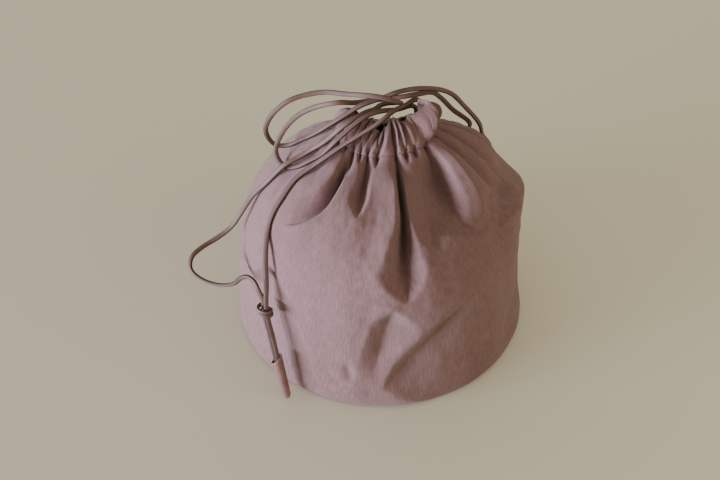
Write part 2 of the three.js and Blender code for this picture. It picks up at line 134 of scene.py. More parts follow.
# drawstring: both sides follow the routes of their solids
cordPlan = {
    "diameter": 0.0025,  # as one round cord
    "broad": 0.0029,  # the same cord, flattened by use
    "thickness": 0.0020,
    "squareness": 2.6,
    "wander": [(0.02, 410, 0), (0.02, 173, 1)],  # slow changes of thickness: share, rate and start
    "divisions": 24,  # of each stretch of the route
    "smoothing": 3,
    "step": 0.0009,  # spacing of the rings along the line
    "sides": 24,
    "firstSide": (0.3, 0.2, 1.0),
    "facing": (0, -0.67, 0.74),  # where the broad side looks when the roll is nought
    "settle": 0.007,  # length in which the cord takes up a turn
    "girth": 0.0078,
}
longRoute = [
    (0.019, 0.0112, 0.1365), (0.0189, 0.0101, 0.1425), (0.0154, 0.0049, 0.1484), (0.0078, -0.0006, 0.1496),
    (-0.0005, -0.006, 0.1525), (-0.0075, -0.01, 0.153), (-0.0135, -0.014, 0.1515), (-0.026, -0.0205, 0.143),
    (-0.03456, -0.01953, 0.13265), (-0.04233, -0.01887, 0.12702), (-0.04788, -0.01663, 0.12206),
    (-0.0542, -0.01267, 0.11827), (-0.05911, -0.00731, 0.11852), (-0.0611, -0.0039, 0.1241),
    (-0.0565, -0.0015, 0.135), (-0.049, 0, 0.144), (-0.039, -0.001, 0.151), (-0.025, -0.004, 0.1565),
    (-0.0155, 0.001, 0.153), (-0.004, 0.0045, 0.1525), (0.008, 0.0025, 0.1555), (0.0185, 0.0055, 0.1555),
    (0.0275, 0.012, 0.1525), (0.033, 0.017, 0.1455), (0.0415, 0.025, 0.1315), (0.0526, 0.0342, 0.1166),
    (0.0549, 0.0482, 0.1005), (0.0569, 0.0555, 0.0917), (0.0604, 0.0558, 0.0876), (0.0655, 0.0516, 0.0862),
    (0.0682, 0.0448, 0.0914), (0.0622, 0.0372, 0.1044), (0.0583, 0.0298, 0.1185), (0.047, 0.021, 0.1375),
    (0.04, 0.016, 0.148), (0.0335, 0.011, 0.1545), (0.025, 0.007, 0.1585), (0.015, 0.003, 0.1605),
    (0.007, 0.0015, 0.1595), (0, -0.0005, 0.1575), (-0.013, -0.005, 0.155), (-0.0215, -0.007, 0.15),
    (-0.03, -0.0065, 0.1435), (-0.03755, -0.0025, 0.13511), (-0.0451, 0.00152, 0.12803),
    (-0.05526, 0.00602, 0.11983), (-0.0618, 0.0059, 0.1203), (-0.0655, 0.004, 0.1265), (-0.0665, 0.002, 0.135),
    (-0.0625, 0.002, 0.144), (-0.053, 0.0025, 0.153), (-0.0435, 0.004, 0.156), (-0.0325, 0.004, 0.158),
    (-0.0215, 0, 0.1595), (-0.007, -0.005, 0.1615), (0.0005, -0.0055, 0.1605), (0.006, -0.004, 0.1575),
    (0.0097, 0.0012, 0.1527), (0.0088, 0.006, 0.1496), (0.0047, 0.0085, 0.1478), (-0.0005, 0.0073, 0.1476),
    (-0.0046, 0.0014, 0.1485), (-0.0085, -0.005, 0.1515), (-0.013, -0.0095, 0.152), (-0.021, -0.0145, 0.1495),
    (-0.032, -0.014, 0.138), (-0.0395, -0.012, 0.131), (-0.047, -0.0125, 0.126), (-0.056, -0.015, 0.1215),
    (-0.0665, -0.013, 0.108), (-0.0755, -0.0125, 0.0975), (-0.082, -0.016, 0.0885), (-0.0895, -0.018, 0.0775),
    (-0.0985, -0.022, 0.072), (-0.106, -0.027, 0.07), (-0.1115, -0.034, 0.0685), (-0.1115, -0.041, 0.0655),
    (-0.1055, -0.047, 0.064), (-0.096, -0.052, 0.064), (-0.0855, -0.057, 0.069), (-0.0793, -0.0598, 0.0769),
    (-0.0754, -0.0624, 0.0801), (-0.0717, -0.0657, 0.0796), (-0.0693, -0.0688, 0.0753),
    (-0.06705, -0.06985, 0.06925), (-0.0668, -0.07195, 0.06125), (-0.0646, -0.07505, 0.04875),
    (-0.0614, -0.07925, 0.02825),
]
shortRoute = [
    (0.0216, 0.0097, 0.1365), (0.0229, 0.0102, 0.143), (0.0186, 0.0066, 0.1514), (0.012, -0.001, 0.1527),
    (0.005, -0.008, 0.1535), (0.001, -0.0135, 0.1535), (-0.0045, -0.0175, 0.151), (-0.0135, -0.02, 0.146),
    (-0.023, -0.0215, 0.14), (-0.032, -0.023, 0.1335), (-0.03955, -0.02353, 0.12761),
    (-0.04912, -0.02609, 0.12061), (-0.05662, -0.03243, 0.11228), (-0.06211, -0.03767, 0.10447),
    (-0.06477, -0.04368, 0.09719), (-0.0655, -0.0515, 0.091), (-0.0655, -0.059, 0.085),
    (-0.065, -0.066, 0.078), (-0.06535, -0.07215, 0.06975), (-0.0651, -0.07425, 0.06175),
    (-0.0629, -0.07735, 0.04925), (-0.0597, -0.08155, 0.02875),
]


# one smooth line through a route, with points evenly spaced
def smoothLine(route):
    p = np.array(route, dtype=float)
    p = np.vstack([2 * p[0] - p[1], p, 2 * p[-1] - p[-2]])
    dense = []
    for i in range(1, len(p) - 2):
        p0, p1, p2, p3 = p[i - 1], p[i], p[i + 1], p[i + 2]
        d0, d1, d2 = (np.sqrt(np.linalg.norm(b - a)) for a, b in ((p0, p1), (p1, p2), (p2, p3)))
        m1 = d1 * ((p1 - p0) / d0 - (p2 - p0) / (d0 + d1) + (p2 - p1) / d1)
        m2 = d1 * ((p2 - p1) / d1 - (p3 - p1) / (d1 + d2) + (p3 - p2) / d2)
        t = np.linspace(0, 1, cordPlan["divisions"], endpoint=False)[:, None]
        dense.append((2 * t**3 - 3 * t**2 + 1) * p1 + (t**3 - 2 * t**2 + t) * m1
                     + (3 * t**2 - 2 * t**3) * p2 + (t**3 - t**2) * m2)
    line = np.vstack(dense + [p[-2:-1]])
    along = lengthsAlong(line)
    even = np.linspace(0, along[-1], int(along[-1] / cordPlan["step"]) + 1)
    line = pointsAt(even, along, line)
    for _ in range(cordPlan["smoothing"]):
        line[1:-1] += 0.5 * (0.5 * (line[:-2] + line[2:]) - line[1:-1])
    return line


# directions carried along a line without any turn about it
def carriedFrame(line):
    tangent = unit(np.gradient(line, axis=0))
    side = np.zeros_like(line)
    side[0] = unit(np.cross(tangent[0], cordPlan["firstSide"]))
    for i in range(1, len(line)):
        turned = side[i - 1] - tangent[i] * side[i - 1].dot(tangent[i])
        side[i] = turned / np.linalg.norm(turned)
    return side, np.cross(tangent, side)


# turn of the section along a line, so that its broad side looks one way, plus a table of rolls
def rollAlong(line, facing, settle, rolls):
    side, up = carriedFrame(line)
    aim = (side * facing).sum(axis=1) + 1j * (up * facing).sum(axis=1)
    step = np.linalg.norm(line[1] - line[0])
    reach = max(int(3 * settle / step), 1)
    kernel = np.exp(-0.5 * (np.arange(-reach, reach + 1) * step / settle) ** 2)
    aim = np.convolve(np.pad(aim, reach, mode="edge"), kernel, mode="valid")
    places, degrees = zip(*rolls)
    extra = np.interp(np.linspace(0, 1, len(line)), places, np.radians(degrees))
    return np.unwrap(np.angle(aim)) - 0.5 * np.pi + extra


# tube around a line; sectionAt gives the radius for angles around it and the place along it
def tubePiece(name, line, sides, sectionAt, roll):
    side, up = carriedFrame(line)
    along = lengthsAlong(line)
    around = fullTurn(sides)
    turn = around[None, :] + roll[:, None]
    radius = sectionAt(around[None, :] + 0 * turn, along[:, None] + 0 * turn)
    ring = line[:, None, :] + radius[..., None] * (
        np.cos(turn)[..., None] * side[:, None, :] + np.sin(turn)[..., None] * up[:, None, :])
    points = np.vstack([ring.reshape(-1, 3), line[:1], line[-1:]])
    rows = len(line)
    faces = gridQuads(rows, sides)
    uv = gridUv([cordPlan["girth"] * np.arange(sides + 1) / sides] * rows, along)
    first, last = rows * sides, rows * sides + 1
    for j in range(sides):
        k = (j + 1) % sides
        faces.append((first, k, j))
        faces.append((last, (rows - 1) * sides + j, (rows - 1) * sides + k))
        uv += [(0, 0)] * 6
    return meshPiece(name, points, faces, uv)


# flattened section with rounded corners
def flatSection(broad, thick):
    n = cordPlan["squareness"]

    def sectionAt(around, along):
        wander = 1 + sum(share * np.sin(along * rate + start) for share, rate, start in cordPlan["wander"])
        across = np.abs(np.cos(around) / (0.5 * broad)) ** n + np.abs(np.sin(around) / (0.5 * thick)) ** n
        return wander * across ** (-1 / n)

    return sectionAt


# degrees that the cord is rolled, by the share of its length from the outlet
longRolls = [
    (0, 10), (0.1, 30), (0.18, 10), (0.3, 40), (0.42, 10), (0.55, 35), (0.66, 15), (0.74, 10), (0.82, 5),
    (0.872, 10), (0.892, 85), (0.935, 60), (0.96, -5), (1, -15),
]
shortRolls = [(0, 10), (0.25, 40), (0.45, 10), (0.6, 15), (0.75, -15), (0.9, -20), (1, -25)]


def cordPiece(name, line, rolls):
    roll = rollAlong(line, np.array(cordPlan["facing"]), cordPlan["settle"], rolls)
    return tubePiece(name, line, cordPlan["sides"], flatSection(cordPlan["broad"], cordPlan["thickness"]), roll)


def lineLength(line):
    return float(lengthsAlong(line)[-1])


longLine, shortLine = smoothLine(longRoute), smoothLine(shortRoute)
drawstringLong = cordPiece("drawstringLong", longLine, longRolls)
drawstringShort = cordPiece("drawstringShort", shortLine, shortRolls)
print("pouch: drawstring %.3f m and %.3f m" % (lineLength(longLine), lineLength(shortLine)))

# side wall: the sections of its solid, with the folds, dents and gathers cut as sharp as cloth
wallPlan = {
    "around": 456,
    "up": 158,
    "cloth": 0.0013,
    "radius": 0.088,  # of the body, for widths measured around it
    "floorGap": 0.0003,
    "meridian": 0.170,
    "flat": (0.572, 0.170),
    "footRows": 0.1,  # share of the rows that crowd near the floor
    "footFade": 0.12,  # share of the wall in which folds fade out above the floor
    "normalStep": 0.004,
    "normalFrom": 0.02,
    "narrow": (0.14, 0.52),  # share of a fold where it begins to narrow, and over how much
    "lip": (0.03, 1.15, 0.005),  # beside a fold: share of its depth, share of its width, spread
    "dent": (0.3, 0.5),  # shares of a dent where it is fully open and where it begins to fade
    "valleyPower": 1.2,
    "lowEnd": 0.62,  # depth of a fold near its lower end, as a share of its depth higher up
    "ribPower": 2.3,  # roundness of the ribs between the gathers
    "neck": (0.88, 0.10),  # share of the wall where the gathers begin, and over how much
    "smallFrom": 0.95,
    "closer": 0.35,
    "hemLift": (0.0020, -79, 17, 0.86),  # height, degrees, spread, and the share where it begins
    "innerPasses": 6,
    "tuck": [(0.2, 0.03), (0.22, 0.10)],  # the edge inside the casing: shares of its depth and height
    "tuckShares": (1.01, 1.02),
    "waveFades": (0.04, 0.75, 0.2),  # where the unevenness begins and ends, and over how much
    "wave": 0.00022,
    "waves": [(7, 5, 0.3), (11, -9, 1.9), (5, 13, 4.0), (17, 7, 2.2), (13, -17, 5.1), (23, 3, 0.9)],
}
sections = columnsOf(
    ("left", "right", "front", "back", "sideZ", "frontZ", "backZ"),
    [
        (0.0876, 0.0872, 0.0878, 0.0876, 0.0003, 0.0003, 0.0003),
        (0.0914, 0.0906, 0.0919, 0.0916, 0.0052, 0.0052, 0.0052),
        (0.0895, 0.0862, 0.0910, 0.0905, 0.030, 0.030, 0.030),
        (0.0870, 0.0845, 0.0900, 0.0880, 0.058, 0.060, 0.055),
        (0.0810, 0.0828, 0.0880, 0.0830, 0.082, 0.084, 0.076),
        (0.0690, 0.0722, 0.0800, 0.0740, 0.103, 0.101, 0.090),
        (0.0520, 0.0608, 0.0640, 0.0580, 0.121, 0.114, 0.102),
        (0.0380, 0.0460, 0.0440, 0.0410, 0.131, 0.123, 0.112),
        (0.0290, 0.0310, 0.0220, 0.0230, 0.138, 0.132, 0.121),
    ],
)
# folds run down from the stitch line: angles of the valley at four places, the share where it ends, sizes;
# the last four columns have usual values
folds = columnsOf(
    ("top", "upper", "lower", "tip", "end", "depth", "neckDepth",
     "leftWidth", "rightWidth", "leftTop", "rightTop", "blunt", "leftPower"),
    [
        (-77, -78, -80.5, -81, 0.50, 0.0190, 0.0090, 0.0185, 0.0135, 0.0034, 0.0010, 0.26, 1.6),
        (-42, -43.5, -48.5, -43, 0.64, 0.0125, 0.0070, 0.0260, 0.0090, 0.0130, 0.0040, 0.50, 0.75),
        (-20, -21, -21.5, -20.5, 0.68, 0.0034, 0.0030, 0.0090, 0.0050),
        (-2, -6, -10, -14, 0.60, 0.0030, 0.0040, 0.0090, 0.0070),
        (15, 14, 12, 11, 0.64, 0.0050, 0.0050, 0.0090, 0.0080),
        (33, 32, 30, 31, 0.60, 0.0070, 0.0055, 0.0120, 0.0080, 0.0032, 0.0032),
        (54, 53, 52, 55, 0.74, 0.0050, 0.0050, 0.0090, 0.0060),
        (73, 74, 75, 71, 0.54, 0.0095, 0.0060, 0.0120, 0.0085, 0.0032, 0.0032),
        (93, 92, 93, 95, 0.75, 0.0050, 0.0050, 0.0090, 0.0060),
        (112, 113, 115, 112, 0.57, 0.0090, 0.0060, 0.0080, 0.0125, 0.0032, 0.0032),
        (132, 133, 134, 137, 0.73, 0.0050, 0.0050, 0.0060, 0.0090),
        (152, 151, 149, 147, 0.59, 0.0070, 0.0055, 0.0080, 0.0120, 0.0032, 0.0032),
        (172, 172, 171, 169, 0.68, 0.0045, 0.0050, 0.0080, 0.0080),
        (192, 193, 195, 198, 0.64, 0.0045, 0.0040, 0.0090, 0.0070),
        (211, 209, 206, 204, 0.74, 0.0035, 0.0050, 0.0070, 0.0060),
        (235, 228.5, 226.5, 216.5, 0.64, 0.0120, 0.0080, 0.0140, 0.0045, 0.0035, 0.0035),
        (252, 252, 251.5, 252, 0.785, 0.0085, 0.0070, 0.0095, 0.0060, 0.0040, 0.0038, 0.40, 1.1),
    ],
    usual=(0.0030, 0.0030, 0.36, 1.2),
)
# dents, and ridges where the depth is below zero, from a crisp upper end to a soft lower one
dents = columnsOf(
    ("fromAngle", "fromShare", "toAngle", "toShare", "depth", "leftWidth", "rightWidth"),
    [
        (-86.0, 0.474, -94.5, 0.215, 0.0072, 0.0105, 0.0200),
        (-89.8, 0.196, -50, 0.475, 0.0078, 0.0085, 0.0420),
        (-101.5, 0.215, -104, 0.29, 0.0022, 0.0050, 0.0045),
        (-37.5, 0.655, -33, 0.99, -0.0054, 0.0125, 0.0140),
        (-30, 0.60, 16, 0.548, -0.0080, 0.0140, 0.0150),
        (-67, 0.655, -63, 1.060, 0.0045, 0.0110, 0.0200),
        (-20, 0.69, -6, 0.53, 0.0034, 0.0075, 0.0045),
        (-6, 0.58, -14, 0.74, -0.0020, 0.0050, 0.0036),
        (-24, 0.26, -6, 0.22, 0.0020, 0.0060, 0.0060),
        (-85, 0.55, -82.5, 1.25, -0.0024, 0.0130, 0.0050),
        (100, 0.46, 118, 0.26, 0.0040, 0.0110, 0.0130),
        (62, 0.44, 80, 0.22, 0.0036, 0.0120, 0.0110),
        (196, 0.46, 182, 0.30, 0.0028, 0.0110, 0.0100),
    ],
)
# small pleats between the folds, which fade just below the stitch line
smallPleats = columnsOf(
    ("angle", "depth"),
    [
        (-136, 0.004), (-116, 0.0055), (-98, 0.0065), (-66.5, 0.007), (-57, 0.0055), (24, 0.003), (44, 0.003),
        (63, 0.0035), (84, 0.003), (102, 0.0035), (123, 0.003), (143, 0.0035), (163, 0.003), (182, 0.003),
    ],
)


def alongRows(column, share):
    values = np.array([row[column] for row in sections])
    last = len(values) - 1
    x = np.clip(share, 0, 1) * last
    i = np.minimum(np.floor(x).astype(int), last - 1)
    f = x - i
    p0, p1 = values[np.maximum(i - 1, 0)], values[i]
    p2, p3 = values[i + 1], values[np.minimum(i + 2, last)]
    return 0.5 * (2 * p1 + (p2 - p0) * f + (2 * p0 - 5 * p1 + 4 * p2 - p3) * f**2
                  + (3 * p1 - p0 - 3 * p2 + p3) * f**3)


def hemLift(angle, share):
    height, at, spread, start = wallPlan["hemLift"]
    return height * gaussian(angle, at, spread) * ease((share - start) / (1 - start))


def smoothBody(angle, share):
    c, s = np.cos(angle), np.sin(angle)
    rx = np.where(c > 0, alongRows("right", share), alongRows("left", share))
    ry = np.where(s > 0, alongRows("back", share), alongRows("front", share))
    zy = np.where(s > 0, alongRows("backZ", share), alongRows("frontZ", share))
    z = alongRows("sideZ", share) * c * c + zy * s * s + hemLift(angle, share)
    return np.stack([rx * c, ry * s, z], axis=-1)


def outwardNormal(angle, share):
    step = wallPlan["normalStep"]
    low = np.clip(share - step, wallPlan["normalFrom"], 1 - 2 * step)
    around = smoothBody(angle + step, share) - smoothBody(angle - step, share)
    upward = smoothBody(angle, low + 2 * step) - smoothBody(angle, low)
    return unit(np.cross(around, upward))


# opens fast from a crisp end
def opening(x):
    return 1 - (1 - np.clip(x, 0, 1)) ** 2


def valley(across, left, right, leftPower=wallPlan["valleyPower"]):
    width = np.maximum(np.where(across < 0, left, right), 1e-6)
    power = np.where(across < 0, leftPower, wallPlan["valleyPower"])
    return np.clip(1 - np.abs(across) / width, 0, 1) ** power


# degrees of a fold's valley at a share of the wall: one cubic through its four places
def valleyAngle(fold, share):
    c = np.clip((share - fold["end"]) / (1 - fold["end"]), 0, 1)
    a0, a1, a2, a3 = fold["tip"], fold["lower"], fold["upper"], fold["top"]
    return (a0 * (1 - 3 * c) * (2 - 3 * c) * (1 - c) / 2 + a1 * 9 * c * (2 - 3 * c) * (1 - c) / 2
            + a2 * 9 * c * (3 * c - 1) * (1 - c) / 2 + a3 * c * (3 * c - 1) * (3 * c - 2) / 2)


def ribDepth(angle, withSmall, p=wallPlan["ribPower"], crest=0.5):
    places = [(fold["top"] % 360, fold["neckDepth"]) for fold in folds]
    if withSmall:
        places += [(pleat["angle"] % 360, pleat["depth"]) for pleat in smallPleats]
    places = np.array(sorted(places))
    places = np.vstack([places[-1] - (360, 0), places, places[0] + (360, 0)])
    turn = np.degrees(angle) % 360
    i = np.clip(np.searchsorted(places[:, 0], turn) - 1, 0, len(places) - 2)
    f = (turn - places[i, 0]) / (places[i + 1, 0] - places[i, 0])
    t = np.where(f < crest, 1 - f / crest, (f - crest) / (1 - crest))
    depth = places[i, 1] + (places[i + 1, 1] - places[i, 1]) * f
    return depth * (1 - (1 - t**p) ** (1 / p))


# small crinkles of worn cloth: many faint waves that run every way
crinklePlan = {
    "waves": 30, "shortest": 0.0055, "longest": 0.017, "height": 0.000034,
    "turn": 2.399963, "spacing": 0.618, "start": 1.7,
}


def crinkles(angle, share):
    body = wallPlan["radius"]
    place = np.stack([body * np.cos(angle), body * np.sin(angle), wallPlan["meridian"] * share], axis=-1)
    total = np.zeros_like(angle)
    count, shortest = crinklePlan["waves"], crinklePlan["shortest"]
    for k in range(count):
        up = 1 - (2 * k + 1) / count
        flat = math.sqrt(1 - up * up)
        turn = crinklePlan["turn"] * k
        way = np.array([flat * math.cos(turn), flat * math.sin(turn), up])
        long = shortest * (crinklePlan["longest"] / shortest) ** ((crinklePlan["spacing"] * k) % 1)
        total += np.sin(place @ way * (2 * math.pi / long) + crinklePlan["start"] * k * k)
    return crinklePlan["height"] * total


# broad soft unevenness of the hanging cloth
def unevenness(angle, share):
    waves = np.zeros_like(angle)
    for turns, rise, start in wallPlan["waves"]:
        waves += np.sin(turns * angle + rise * share + start)
    first, last, over = wallPlan["waveFades"]
    fades = ease((share - first) / over) * (1 - ease((share - last) / over))
    return (wallPlan["wave"] * waves + crinkles(angle, share)) * fades


def foldDepth(angle, share, radius):
    depth = np.zeros_like(angle)
    narrowFrom, narrowOver = wallPlan["narrow"]
    lipHeight, lipAt, lipSpread = wallPlan["lip"]
    lowEnd = wallPlan["lowEnd"]
    for fold in folds:
        q = (share - fold["end"]) / (1 - fold["end"])
        across = turnFrom(angle, valleyAngle(fold, share)) * radius
        wide = opening(q / fold["blunt"])
        near = ease((q - narrowFrom) / narrowOver)
        left, right = (wide * (fold[side + "Width"] + (fold[side + "Top"] - fold[side + "Width"]) * near)
                       for side in ("left", "right"))
        lip = np.exp(-((np.abs(across) - lipAt * np.where(across < 0, left, right)) / lipSpread) ** 2)
        cut = valley(across, left, right, fold["leftPower"])
        deep = fold["depth"] * (lowEnd + (1 - lowEnd) * near)
        depth += deep * wide * (cut - lipHeight * lip * (q > 0))
    openAt, fadeFrom = wallPlan["dent"]
    for dent in dents:
        ux = turnFrom(np.radians(dent["toAngle"]), dent["fromAngle"]) * wallPlan["radius"]
        uy = (dent["toShare"] - dent["fromShare"]) * wallPlan["meridian"]
        px = turnFrom(angle, dent["fromAngle"]) * np.minimum(radius, wallPlan["radius"])
        py = (share - dent["fromShare"]) * wallPlan["meridian"]
        size = math.hypot(ux, uy)
        t = (px * ux + py * uy) / size**2
        across = (ux * py - uy * px) / size * (1 if uy < 0 else -1)
        wide = opening(t / openAt) * (t < 1)
        fade = 1 - ease((t - fadeFrom) / (1 - fadeFrom))
        cut = valley(across, wide * dent["leftWidth"], wide * dent["rightWidth"])
        depth += dent["depth"] * wide * fade * cut
    neckFrom, neckOver = wallPlan["neck"]
    neck = ease((share - neckFrom) / neckOver)
    small = ease((share - wallPlan["smallFrom"]) / (1 - wallPlan["smallFrom"]))
    ribs = ribDepth(angle, False) * (1 - small) + ribDepth(angle, True) * small
    total = depth * (1 - neck) + ribs * neck + unevenness(angle, share)
    return total * ease(share / wallPlan["footFade"])


def wallPoint(angle, share, inset=0.0):
    point = smoothBody(angle, share)
    depth = foldDepth(angle, share, np.hypot(point[..., 0], point[..., 1]))
    return point - outwardNormal(angle, share) * (depth + inset)[..., None]


# upright lines of the cloth follow the valleys, so that each crease stays clean; more stand at the front
def wallColumns(share):
    edges = [valleyAngle(fold, share) for fold in folds]
    edges.append(edges[0] + 360)
    places = np.array([(fold["top"] + fold["tip"]) / 2 for fold in folds])
    spans = np.diff(np.r_[places, places[0] + 360])
    middle = np.radians(places) + np.radians(spans) / 2
    want = spans * (1 - wallPlan["closer"] * np.sin(middle))
    ends = np.round(np.cumsum(want) / want.sum() * wallPlan["around"] / 2).astype(int) * 2
    counts = np.diff(np.r_[0, ends])
    columns = []
    for k, count in enumerate(counts):
        t = np.arange(count) / count
        columns.append(edges[k][:, None] + (edges[k + 1] - edges[k])[:, None] * t)
    return np.radians(np.concatenate(columns, axis=1))


def wallGrid(up):
    x = np.linspace(0, 1, up)
    share = wallPlan["footRows"] * np.sqrt(x) + (1 - wallPlan["footRows"]) * x
    angles = wallColumns(share)
    shares = np.repeat(share[:, None], angles.shape[1], axis=1)
    return wallPoint(angles, shares), angles, share


# the cloth settles: threads keep their lengths, sharp bends relax and slack turns into small ripples
settlePlan = {
    "rounds": 40, "slack": 1.006, "goal": 0.02, "shear": 0.12, "bend": 0.08,
    "softening": 2, "softeningStep": 0.15,
}


def settleCloth(target):
    rows = len(target)

    def size(d):
        return np.sqrt((d * d).sum(-1, keepdims=True))

    def halfStretch(d, rest):
        return d * (0.5 - 0.5 * rest / np.maximum(size(d), 1e-7))

    def bends(sheet):
        level = np.roll(sheet, 1, axis=1) + np.roll(sheet, -1, axis=1) - 2 * sheet
        level[1:-1] += sheet[2:] + sheet[:-2] - 2 * sheet[1:-1]
        return level

    restAround = size(np.roll(target, -1, axis=1) - target) * settlePlan["slack"]
    restUp = size(target[1:] - target[:-1]) * settlePlan["slack"]
    restShear = np.sqrt(restUp**2 + restAround[:-1] ** 2)
    cloth = target.copy()

    def pull(a, b, rest):
        move = halfStretch(b - a, rest)
        a += move
        b -= move

    for _ in range(settlePlan["rounds"]):
        for first in (0, 1):
            turned = np.roll(cloth, -first, axis=1)
            pull(turned[:, 0::2], turned[:, 1::2], restAround[:, first::2])
            cloth = np.roll(turned, first, axis=1)
        for first in (0, 1):
            last = first + 2 * ((rows - first) // 2)
            pull(cloth[first:last:2], cloth[first + 1:last:2], restUp[first:last:2])
        for way in (-1, 1):
            upper = np.roll(cloth[1:], way, axis=1)
            move = settlePlan["shear"] * halfStretch(upper - cloth[:-1], restShear)
            cloth[:-1] += move
            cloth[1:] -= np.roll(move, -way, axis=1)
        cloth += settlePlan["bend"] * 0.25 * bends(cloth)
        cloth += settlePlan["goal"] * (target - cloth)
        cloth[0], cloth[-1] = target[0], target[-1]
        cloth[..., 2] = np.maximum(cloth[..., 2], wallPlan["floorGap"])
    for _ in range(settlePlan["softening"]):
        cloth[1:-1] += settlePlan["softeningStep"] * bends(cloth)[1:-1]
    return cloth


def clothNormal(cloth):
    around = np.roll(cloth, -1, axis=1) - np.roll(cloth, 1, axis=1)
    return unit(np.cross(around, np.gradient(cloth, axis=0)))


# where a cord lies on the cloth, the cloth gives way under it
yieldPlan = {"clear": 0.00165, "reach": 0.006, "passes": 8}


def yieldToCords(cloth):
    clear = yieldPlan["clear"]
    line = np.vstack([longLine, shortLine])
    tree = KDTree(len(line))
    for i, point in enumerate(line):
        tree.insert(point, i)
    tree.balance()
    normal = clothNormal(cloth)
    push = np.zeros(cloth.shape[:2])
    for i, j in np.ndindex(*push.shape):
        place, _, away = tree.find(cloth[i, j])
        if away < yieldPlan["reach"]:
            lift = float((cloth[i, j] - np.array(place)).dot(normal[i, j]))
            aside = max(away * away - lift * lift, 0.0)
            if aside < clear * clear:
                push[i, j] = max(0.0, lift + math.sqrt(clear * clear - aside))
    soft = push
    for _ in range(yieldPlan["passes"]):
        soft = np.maximum(push, 0.25 * (np.roll(soft, 1, 0) + np.roll(soft, -1, 0)
                                        + np.roll(soft, 1, 1) + np.roll(soft, -1, 1)))
    return cloth - normal * soft[..., None]


# inner face: every second point of the outer one, a cloth's thickness further in
def innerFace(outer):
    normal = clothNormal(outer)
    for _ in range(wallPlan["innerPasses"]):
        normal = unit(normal + 0.5 * (np.roll(normal, 1, axis=1) + np.roll(normal, -1, axis=1)))
    inner = (outer - wallPlan["cloth"] * normal)[::2, ::2]
    inner[..., 2] = np.maximum(inner[..., 2], wallPlan["floorGap"])
    return inner


def makeWall():
    outer, angles, shares = wallGrid(wallPlan["up"])
    angle = angles[-1]
    outer = yieldToCords(settleCloth(outer))
    hidden = [casingPoint(angle, a, h) for a, h in wallPlan["tuck"]]
    outer = np.concatenate([outer, np.array(hidden)])  # the edge goes on up inside the casing
    inner = innerFace(outer)
    width, length = wallPlan["flat"]
    angles = np.vstack([angles, angles[-1:], angles[-1:]])
    u = width * np.column_stack([angles, angles[:, 0] + 2 * np.pi]) / (2 * np.pi)
    v = length * np.r_[shares, wallPlan["tuckShares"]]
    faces, uv = [], []
    start = 0
    for face, step, order in ((outer, 1, 1), (inner, 2, -1)):
        rows, around = face.shape[:2]
        faces += gridQuads(rows, around, start, order)
        uv += gridUv(u[::step, ::step], v[::step], order)
        start += rows * around
    around, base = outer.shape[1], outer.shape[0] * outer.shape[1]
    coarse = inner.shape[1]
    lastRow = base + (inner.shape[0] - 1) * coarse
    for j in range(coarse):
        k = (j + 1) % coarse
        low = [(2 * j + n) % around for n in range(3)]
        high = [base - around + n for n in low]
        faces.append(tuple(reversed(low)) + (base + j, base + k))
        faces.append(tuple(high) + (lastRow + k, lastRow + j))
        uv += [(u[0][2 * j], 0)] * 5 + [(u[-1][2 * j], length)] * 5
    return meshPiece("pouchWall", np.vstack([outer.reshape(-1, 3), inner.reshape(-1, 3)]), faces, uv)


# casing: the folded top edge, pleated by the drawstring, open at the outlet
casingPlan = {
    "around": 1000,
    "depth": 0.0075,
    "thinning": 0.85,  # loss of depth in a pleat, as a share of the pleat
    "thinnest": 0.0018,
    "wall": 0.14,  # thickness of the channel's cloth, as a share of the depth
    "hem": 0.019,  # length of cloth from the stitch line to the rim
    "rows": (12, 15, 10),  # outer face, rim and inner face
    "gap": 0.0003,
    "outlet": 40,
    "outletHalf": 12,
    "rimHalfWidth": 0.025,
    "rimHalfDepth": 0.012,
    "rimFrontZ": 0.150,
    "rimSideZ": 0.149,
    "rimBackZ": 0.136,
    "shift": 0.001,
    "rimPleat": 1.2,
    "pleatPower": 1.5,  # flatness of the pleats
    "crest": 0.24,  # each pleat is highest near its left edge
    "calm": (-22, 24, 0.85),  # the lobe at the right is nearly smooth: where, how far and how much
    "lean": (15, 2.3),  # degrees that the pleats lean towards the front by the rim, and how sharply
    "leanTo": -80,
    "sway": (0.05, 9),  # radians and waves around
    "pleatRise": 1.6,  # how soon above the stitch line the pleats of the rim take over
    "squash": 1.6,  # how much more the pleats run towards the middle from front and back
    "bulge": 0.0010,
    "bulgePower": 0.8,
    "height": 0.74,  # share of the height where the channel ends
}
lobes = columnsOf(("angle", "spread", "rise", "push"), [(-16, 32, 0.008, 0.006), (178, 34, 0.001, 0)])
# upright creases on the lobe: a ridge where the depth is below zero, and the hollow right of it
creases = columnsOf(("angle", "spread", "depth"), [(-36, 19, -0.0034), (-10, 20, 0.0090), (14, 14, -0.003)])
dips = columnsOf(
    ("angle", "spread", "share"), [(-97, 16, 0.45), (-60, 13, 0.20), (-140, 18, 0.12), (100, 40, 0.1)])


def rimPoint(angle):
    c, s = np.cos(angle), np.sin(angle)
    zy = np.where(s > 0, casingPlan["rimBackZ"], casingPlan["rimFrontZ"])
    x = casingPlan["shift"] + casingPlan["rimHalfWidth"] * c
    y = casingPlan["rimHalfDepth"] * s
    z = casingPlan["rimSideZ"] * c * c + zy * s * s
    for lobe in lobes:
        bump = gaussian(angle, lobe["angle"], lobe["spread"])
        z = z + lobe["rise"] * bump
        x = x + lobe["push"] * bump * np.sign(c)
    return np.stack([x, y, z], axis=-1)


